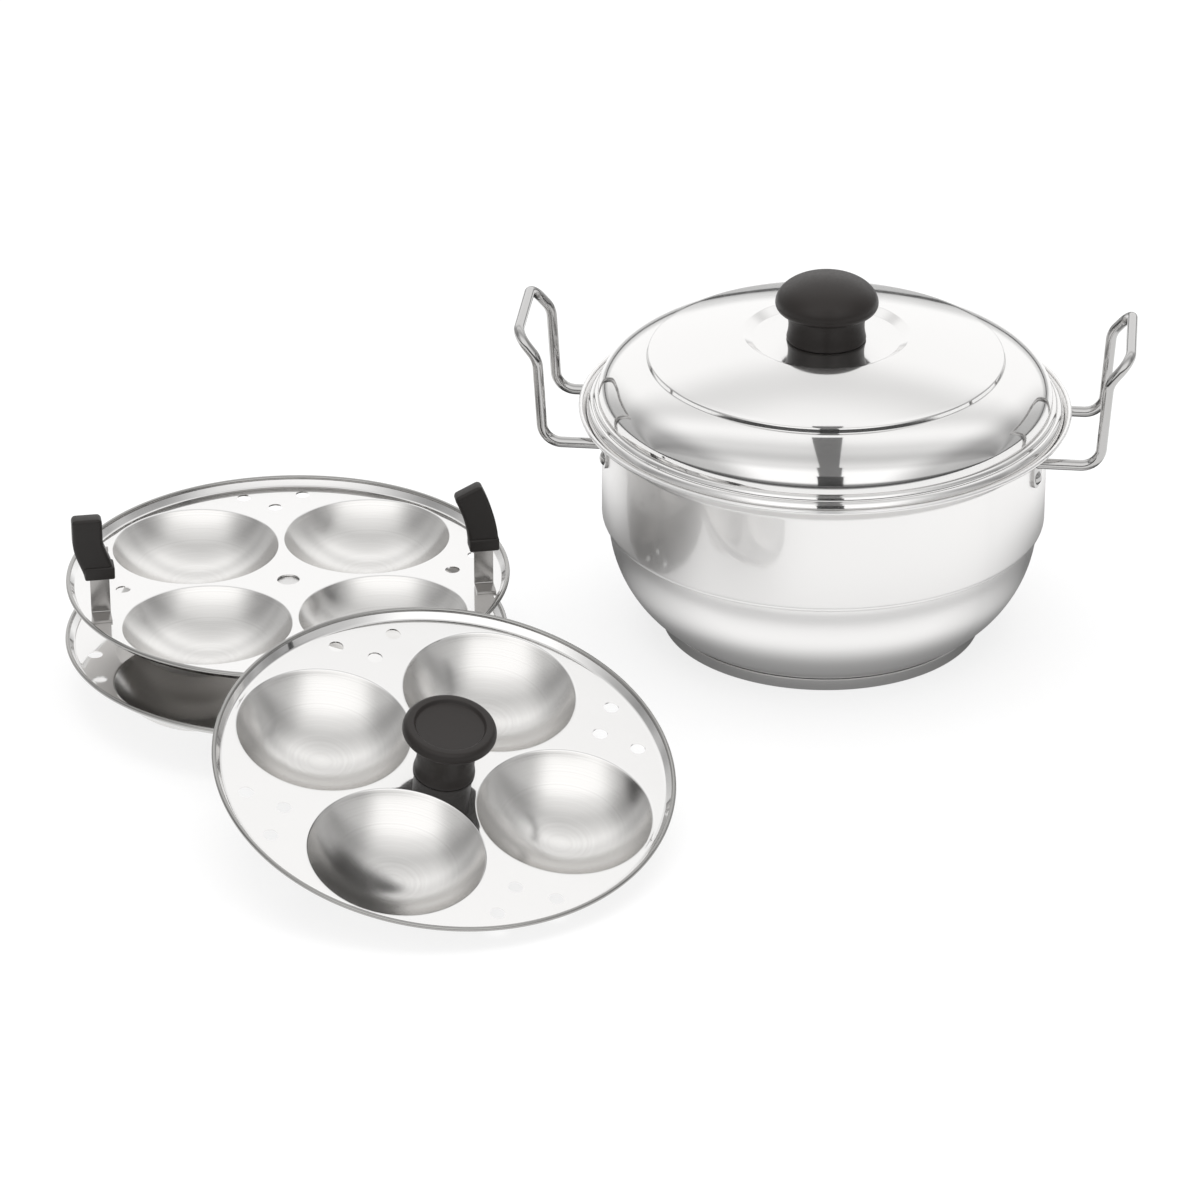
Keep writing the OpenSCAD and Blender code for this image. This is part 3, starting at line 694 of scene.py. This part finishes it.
def narrowing(foot_r, waist_r, waist_h):
    """A knob's foot, which narrows towards its waist and gets steeper."""
    return [
        (waist_r + (foot_r - waist_r) * (1 - s) ** 2, WAIST_RISE + (waist_h - WAIST_RISE) * s)
        for s in spread(0, 1, 8)[1:]
    ]


waist_h = KNOB_NECK_H / 2
lid_knob_outline = (
    [(0, 0), (KNOB_FOOT_R - KNOB_EDGE_R, 0)]
    + arc((KNOB_FOOT_R - KNOB_EDGE_R, KNOB_EDGE_R), (KNOB_EDGE_R, KNOB_EDGE_R), -90, 0, 5)
    + narrowing(KNOB_FOOT_R, KNOB_WAIST_R, waist_h)
    + [(KNOB_WAIST_R + (KNOB_NECK_R - KNOB_WAIST_R) * s**2, waist_h * (1 + s)) for s in spread(0, 1, 8)[1:]]
    + arc((KNOB_NECK_R, KNOB_WIDE_H), (KNOB_R - KNOB_NECK_R, KNOB_WIDE_H - KNOB_NECK_H), -90, 0, 14)
    + arc((0, KNOB_WIDE_H), (KNOB_R, KNOB_H - KNOB_WIDE_H), 2, 90, 40)
)
lid_knob = place(spun("lid_knob_black", lid_knob_outline), moved(z=KNOB_Z))
dress(lid_knob, "lid", "bakelite", KNOB_BAKELITE, "lid_knob")

disc_rim = (DISC_RIM_R, DISC_TOP_H)
dish_edge = (DISH_R, DISC_TOP_H)
dish_foot = (DISH_FLOOR_R, DISH_FLOOR_H)
plate_knob_outline = (
    [(0, 0), (NECK_FOOT_R - NECK_EDGE_R, 0)]
    + arc((NECK_FOOT_R - NECK_EDGE_R, NECK_EDGE_R), (NECK_EDGE_R, NECK_EDGE_R), -90, 0, 4)
    + narrowing(NECK_FOOT_R, NECK_R, NECK_FOOT_H)
    + [(NECK_R, NECK_TOP_H)]
    + arc((NECK_R, DISC_WIDE_H), (DISC_R - NECK_R, DISC_HALF_H), -85, 0, 14)
    + arc((DISC_RIM_R, DISC_WIDE_H), (DISC_R - DISC_RIM_R, DISC_HALF_H), 6, 90, 12)
    + rounded(disc_rim, dish_edge, dish_foot, DISH_BENDS[0])
    + rounded(dish_edge, dish_foot, (0, DISH_FLOOR_H), DISH_BENDS[1])
    + [(0, DISH_FLOOR_H)]
)
plate_knob = place(spun("plate_knob_black", plate_knob_outline), AT_LEANING)
dress(plate_knob, "leaning_plate_set", "bakelite", KNOB_BAKELITE, "plate_knob")

# One idli plate, with the upper face of its flat at height 0, copied to the three places

reach = CAVITY_SPHERE_R + CAVITY_ROUND
round_r = math.sqrt(reach**2 - (CAVITY_CENTRE_Z + CAVITY_ROUND) ** 2)
edge_angle = math.degrees(math.atan2(-CAVITY_CENTRE_Z - CAVITY_ROUND, round_r))
cavity_line = (
    arc((0, CAVITY_CENTRE_Z), (CAVITY_SPHERE_R, CAVITY_SPHERE_R), -90, edge_angle, 40)
    + arc((round_r, -CAVITY_ROUND), (CAVITY_ROUND, CAVITY_ROUND), 180 + edge_angle, 90, 6)[1:]
    + [(round_r + CAVITY_SEAM, 0)]
)
cavities = []
first_cavity = spun("cavity", cavity_line, 120)
for quarter in range(4):
    angle = math.radians(45 + 90 * quarter)
    middle = moved(CAVITY_PITCH_R * math.cos(angle), CAVITY_PITCH_R * math.sin(angle))
    cavities.append(copied(first_cavity, "cavity", middle))
bpy.data.objects.remove(first_cavity)
rim_line = (
    [(PLATE_WEB_R - RIM_SEAM, 0)]
    + rounded((0, 0), (PLATE_WEB_R, 0), PLATE_EDGE, PLATE_BEND_R)
    + [PLATE_EDGE]
)
rim = spun("rim", rim_line, 240)
holes = []
for spot, angle, size in (
    [(0, 0, CENTRE_HOLE_R)]
    + [(STEAM_SINGLE_AT, 90 * i, STEAM_R) for i in range(4)]
    + [(STEAM_PAIR_AT, 90 * i + side * STEAM_PAIR_TURN, STEAM_R) for i in range(4) for side in (-1, 1)]
):
    turn = math.radians(angle)
    middle = Vector((spot * math.cos(turn), spot * math.sin(turn), 0)) * MM
    bpy.ops.object.select_all(action="DESELECT")
    bpy.ops.mesh.primitive_circle_add(vertices=40, radius=size * MM, location=middle)
    bpy.ops.object.transform_apply()
    holes.append(bpy.context.object)
sheet = joined("idli_plate", [rim] + cavities + holes)
start_edit(sheet)
bpy.ops.mesh.select_mode(type="EDGE")
bpy.ops.mesh.select_all(action="DESELECT")
bpy.ops.mesh.select_non_manifold(
    extend=False, use_multi_face=False, use_non_contiguous=False, use_verts=False
)
bpy.ops.object.mode_set(mode="OBJECT")
for edge in sheet.data.edges:
    if any(abs(sheet.data.vertices[v].co.z) > 0.01 * MM for v in edge.vertices):
        edge.select = False
bpy.ops.object.mode_set(mode="EDIT")
bpy.ops.mesh.fill(use_beauty=True)
bpy.ops.mesh.select_mode(type="VERT")
close_edit()
up = sum(face.normal.z * face.area for face in sheet.data.polygons)
if up < 0:
    start_edit(sheet)
    bpy.ops.mesh.flip_normals()
    bpy.ops.object.mode_set(mode="OBJECT")
modified(sheet, "SOLIDIFY", thickness=PLATE_SHEET * MM, offset=-1)
bpy.ops.object.select_all(action="DESELECT")
bpy.ops.mesh.primitive_torus_add(
    major_radius=PLATE_EDGE[0] * MM,
    minor_radius=PLATE_BEAD_R * MM,
    major_segments=240,
    minor_segments=16,
    location=(0, 0, PLATE_EDGE[1] * MM),
)
bpy.ops.object.transform_apply()
sheet = joined("idli_plate", [sheet, bpy.context.object])
bpy.ops.object.shade_smooth_by_angle(angle=SMOOTH_ANGLE)
FLAT, CAVITY, UNDERSIDE, EDGE = range(4)
finishes = []
for face in sheet.data.polygons:
    spot = face.center / MM
    off = Vector((abs(spot.x) - CAVITY_PITCH, abs(spot.y) - CAVITY_PITCH))
    if face.normal.z < 0 and spot.xy.length < PLATE_WEB_R:
        finishes.append(UNDERSIDE)
    elif spot.xy.length > PLATE_EDGE[0] - PLATE_BEAD_R:
        finishes.append(EDGE)
    elif off.length < CAVITY_R - BRUSH_STOP:
        finishes.append(CAVITY)
    else:
        finishes.append(FLAT)
for name, body, at in (
    ("lower", "lower_plate_set", AT_LOWER),
    ("upper", "upper_plate_set", AT_UPPER),
    ("leaning", "leaning_plate_set", AT_LEANING),
):
    plate = copied(sheet, f"{name}_idli_plate", at)
    brushed = brushed_cavities(f"circle-brushed stainless sheet, {name} plate", at)
    # The beads take the steel whose darker colour paints the shade along them
    plate_finishes = (MIRROR_SHEET, brushed, MILL_SHEET, PAINTED_SHADE_EDGE_STEEL)
    dress(plate, body, "polished_steel", plate_finishes, f"{name}_plate")
    for face, finish_index in zip(plate.data.polygons, finishes):
        face.material_index = finish_index
bpy.data.objects.remove(sheet)

# The side grips: a bent steel strip stands on the plate and ends in a moulded grip

strip_top = GRIP_FOOT_H + TANG_H
strip_outline = (
    [(-STRIP_FOOT, STRIP_T), (-STRIP_FOOT, 0)]
    + rounded((-STRIP_FOOT, 0), (STRIP_T, 0), (STRIP_T, strip_top), STRIP_BEND_R)
    + [(STRIP_T, strip_top), (0, strip_top)]
    + rounded((0, strip_top), (0, STRIP_T), (-STRIP_FOOT, STRIP_T), STRIP_BEND_R - STRIP_T)
)
strip = slab("strip", [(-STRIP_W / 2, y, z) for y, z in strip_outline], (STRIP_W, 0, 0), STRIP_EDGE_R)


def grip_outline(lean):
    """The two long sides of a grip about its leaning middle line, with rounded corners at the top."""
    line = [(lean(s), GRIP_H * s) for s in spread(0, 1, 24)]
    right = beside(line, -GRIP_W / 2, False)
    left = beside(line, GRIP_W / 2, False)
    right_corner = rounded(right[-2], right[-1], left[-1], GRIP_TOP_ROUND)
    left_corner = rounded(right[-1], left[-1], left[-2], GRIP_TOP_ROUND)
    return right[:-2] + right_corner + left_corner + left[-3::-1]


def left_lean(s):
    """An S: the lean grows and levels out before the top."""
    s = min(1, s / LEFT_LEAN_SHARE)
    return -LEFT_LEAN * s * s * (3 - 2 * s)


def right_lean(s):
    """A bow: the lean grows all the way up."""
    return -RIGHT_LEAN * s * s


block_back = GRIP_T / 2 + GRIP_BLOCK_OUT
block_corners = [(-GRIP_W / 2, 0), (GRIP_W / 2, 0), (GRIP_W / 2, GRIP_BLOCK_H), (-GRIP_W / 2, GRIP_BLOCK_H)]
for name, side, lean in (("left", -1, left_lean), ("right", 1, right_lean)):
    at = AT_UPPER @ turned(STRIP_TURN) @ moved(side * STRIP_X, STRIP_Y)
    grip_strip = copied(strip, f"grip_strip_{name}", at)
    dress(grip_strip, "upper_plate_set", "polished_steel", STRIP_STEEL, f"strip_{name}")
    grip_face = [(x, GRIP_T / 2, z) for x, z in grip_outline(lean)]
    grip = slab(f"bakelite_grip_{name}", grip_face, (0, -GRIP_T, 0), GRIP_EDGE_R)
    block_face = [(x, block_back, z) for x, z in block_corners]
    block = slab("block", block_face, (0, -2 * block_back, 0), GRIP_BLOCK_EDGE_R)
    grip = place(joined(f"bakelite_grip_{name}", [grip, block]), at @ moved(0, STRIP_T / 2, GRIP_FOOT_H))
    dress(grip, "upper_plate_set", "grip_bakelite", GRIP_BAKELITE, f"grip_{name}")
bpy.data.objects.remove(strip)

# Materials of the CAD nodes that stay

BRACKETS = [f"bracket_{side}_{end}" for side in ("left", "right") for end in ("back", "front")]
FITTINGS = [f"{knob}_{fitting}" for knob in ("lid_knob", "plate_knob") for fitting in ("screw", "washer")]
for material, names in (
    (CORE_ALUMINIUM, ["base_core"]),
    (SATIN_SHEET, ["spacer_cup"]),
    (BRASS, ["lid_knob_insert", "plate_knob_insert"]),
    (WIRE_STEEL, BRACKETS + ["bracket_rivets"] + FITTINGS),
):
    for name in names:
        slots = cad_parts[name].data.materials
        slots.clear()
        slots.append(material)

# The floor: white paper to the camera, and to steel a pale glowing table that is darker towards the camera,
# close behind the pot and far behind, with rings of painted shade round the pot

bpy.ops.object.select_all(action="DESELECT")
bpy.ops.mesh.primitive_plane_add(size=FLOOR_SIDE * MM)
floor = bpy.context.object
floor.name = "studio_floor"
paper, tree = new_material("white studio paper")
place_at = node(tree, "TexCoord").outputs["Object"]
white = {"Color": (1, 1, 1, 1)}
shade = mixed_colour(tree, grain(tree, place_at, 2.5), "#fdfdfd", "#fafafa")
lit = node(tree, "BsdfPrincipled", {"Base Color": shade, "Roughness": 0.9}).outputs["BSDF"]
glow = node(tree, "Emission", {**white, "Strength": 1}).outputs["Emission"]
rays = node(tree, "LightPath")
share = number_math(tree, "MULTIPLY", rays.outputs["Is Camera Ray"], FLOOR_GLOW)
plain = node(tree, "MixShader", {0: share, 1: lit, 2: glow}).outputs["Shader"]

# Its zones by depth and by distance from the pot's axis, in metres
depth = node(tree, "SeparateXYZ", {"Vector": place_at}).outputs["Y"]
from_pot = node(tree, "VectorMath", {0: place_at}, operation="LENGTH").outputs["Value"]
front = between(tree, depth, (-1.3, -0.8), (0.3, 1.16))
behind = between(tree, depth, (-0.09, 0.03), (0, 0.92))
about = between(tree, from_pot, (0.17, 0.22), (1, 0))
far = between(tree, depth, (0.6, 1.1), (1, 0.5))
# Two rings of painted shade on the floor as steel sees it: the inner one paints the pot's shadow round its
# foot, the outer one a band of shade on the pot below its crease
painted_shade_ring_stops = [(0.085, 0.3), (0.112, 1), (0.132, 1), (0.16, 0.36), (0.174, 0.36), (0.188, 1)]
rings = levels(tree, from_pot, painted_shade_ring_stops)
open_part = number_math(tree, "SUBTRACT", 1, number_math(tree, "MULTIPLY", behind, about))
table = number_math(tree, "MULTIPLY", front, open_part)
for zone in (rings, far):
    table = number_math(tree, "MULTIPLY", table, zone)

in_steel = node(tree, "Emission", {**white, "Strength": table}).outputs["Emission"]
floor_look = node(tree, "MixShader", {0: rays.outputs["Is Glossy Ray"], 1: plain, 2: in_steel})
finish(tree, floor_look.outputs["Shader"])
floor.data.materials.append(paper)

# The room: plain white to the camera and to dull surfaces, and to steel a room that is dark low in front,
# with pale softboxes in front and behind, a darker ceiling between them and dim sides

world = bpy.data.worlds.new("white studio")
bpy.context.scene.world = world
world.use_nodes = True
tree = world.node_tree
tree.nodes.clear()

# Where a ray goes: from the front (0) over the top (0.5) to the back (1), and out to the sides
to_camera = Vector((*VIEW_FROM[:2], 0)).normalized()
to_side = Vector((-to_camera.y, to_camera.x, 0))
way = node(tree, "TexCoord").outputs["Generated"]
ahead = node(tree, "VectorMath", {0: way, 1: to_camera}, operation="DOT_PRODUCT").outputs["Value"]
across = node(tree, "VectorMath", {0: way, 1: to_side}, operation="DOT_PRODUCT").outputs["Value"]
up = node(tree, "SeparateXYZ", {"Vector": way}).outputs["Z"]
over = number_math(tree, "DIVIDE", number_math(tree, "ARCTAN2", up, ahead), math.pi)
aside = number_math(tree, "ABSOLUTE", across)
room_level = levels(
    tree,
    over,
    [
        (0, 0.03),
        (0.05, 0.2),
        (0.11, 1),
        (0.3, 1),
        (0.4, 0.72),
        (0.5, 0.54),
        (0.58, 0.66),
        (0.67, 0.9),
        (0.74, 0.68),
        (0.81, 0.9),
        (0.955, 0.9),
        (0.985, 0.6),
        (1, 0.45),
    ],
)
side_level = levels(tree, aside, [(0, 1), (0.42, 1), (0.78, 0.5), (1, 0.42)])
both_levels = {"Factor": 1, "A": room_level, "B": side_level}
dimmed = node(tree, "Mix", both_levels, data_type="RGBA", blend_type="MULTIPLY").outputs["Result"]
in_steel = node(tree, "Background", {"Color": dimmed, "Strength": ROOM_STRENGTH}).outputs["Background"]
backdrop = node(tree, "Background", {**white, "Strength": 1}).outputs["Background"]
glossy = node(tree, "LightPath").outputs["Is Glossy Ray"]
mixed = node(tree, "MixShader", {0: glossy, 1: backdrop, 2: in_steel})
node(tree, "OutputWorld", {"Surface": mixed.outputs["Shader"]})


def looking(spot, aim):
    """The turn of a lamp or camera that stands at a spot and looks at another."""
    return (Vector(aim) - Vector(spot)).to_track_quat("-Z", "Y").to_euler()


def lamp(name, spot, aim, size, power):
    bpy.ops.object.light_add(type="AREA", location=spot)
    light = bpy.context.object
    light.name = name
    light.data.shape = "RECTANGLE"
    light.data.size, light.data.size_y = size
    light.data.energy = power
    light.visible_glossy = False
    light.rotation_euler = looking(spot, aim)


# Places in metres, power in watts
lamp("overhead softbox", (-0.1, 0.2, 1.6), (-0.1, 0, 0), (1.6, 1.2), 14)

# Three flags that only the steel sees: they arch over the front of the lid and stand for the dark gap
# between the softboxes, where the camera is


def flag(name, first, last, half, colour):
    """A strip of felt along an arc over the lid's front, from one angle to another, in degrees."""
    side = arc((FLAG_ARC_Y, FLAG_ARC_Z), (-FLAG_ARC_R, FLAG_ARC_R), first, last, 12)
    cloth = drawn(name, [(-half, y, z) for y, z in side])
    start_edit(cloth)
    bpy.ops.mesh.extrude_region_move(TRANSFORM_OT_translate={"value": Vector((2 * half, 0, 0)) * MM})
    close_edit()
    felt, tree = new_material(f"studio felt, {name}")
    weave = grain(tree, node(tree, "TexCoord").outputs["Object"], 1.11)
    nap = mixed_colour(tree, weave, colour, "#0c0c0c")
    finish(tree, node(tree, "BsdfPrincipled", {"Base Color": nap, "Roughness": 1}).outputs["BSDF"])
    cloth.data.materials.append(felt)
    cloth.visible_camera = False
    cloth.visible_diffuse = False
    cloth.visible_shadow = False


flag("low_flag", 0, 42, 15, "#161616")
flag("middle_flag", 42, 72, 12.5, "#a0a0a0")
flag("high_flag", 72, 128, 9.5, "#a0a0a0")

bpy.ops.object.camera_add(location=Vector(VIEW_FROM) * MM)
camera = bpy.context.object
camera.rotation_euler = looking(VIEW_FROM, VIEW_CENTRE)
camera.data.sensor_width = SENSOR
camera.data.lens = LENS
camera.data.clip_start = 0.1
camera.data.clip_end = 20
bpy.context.scene.camera = camera

bpy.context.scene.view_settings.view_transform = "Standard"

bpy.context.view_layer.update()
